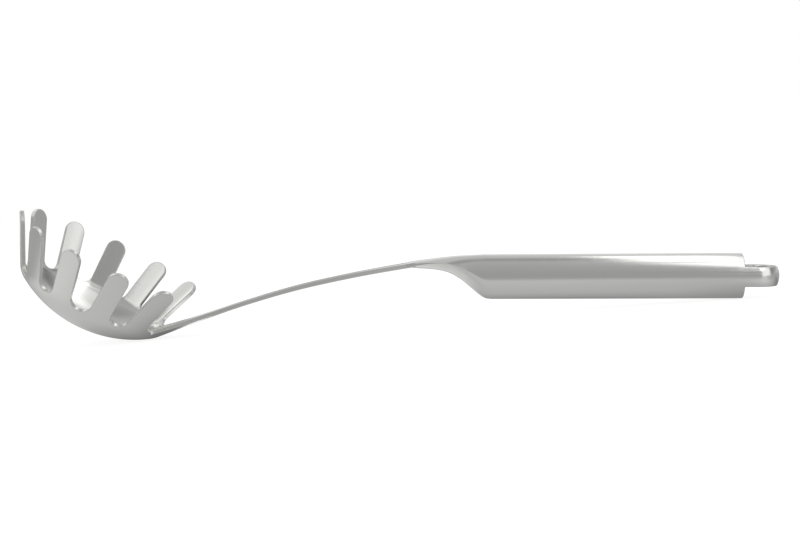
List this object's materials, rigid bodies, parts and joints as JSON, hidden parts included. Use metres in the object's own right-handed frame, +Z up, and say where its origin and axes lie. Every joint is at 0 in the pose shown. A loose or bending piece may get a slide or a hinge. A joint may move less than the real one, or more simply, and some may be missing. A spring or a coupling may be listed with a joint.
{
  "type": "pasta server",
  "caption": "Stainless steel pasta server with a tilted oval bowl of round-ended tines, an arched flat shank and a hollow round handle ending in a flat tongue with a hanging hole.",
  "frame": {"origin": "centre of the underside of the bounding box, on the plane that the server rests on", "axes": "+X from the bowl towards the end of the handle, +Y to the right of a person who holds the handle with the bowl away from them, +Z up, at rest on its bowl and on the end of its handle"},
  "size_m": [0.3392, 0.0716, 0.0631],
  "materials": {
    "satin_steel": "satin"
  },
  "bodies": {
    "root": {"head_and_shank": "satin_steel", "handle_left_shell": "satin_steel", "handle_right_shell": "satin_steel", "end_plug": "satin_steel"}
  },
  "joints": []
}
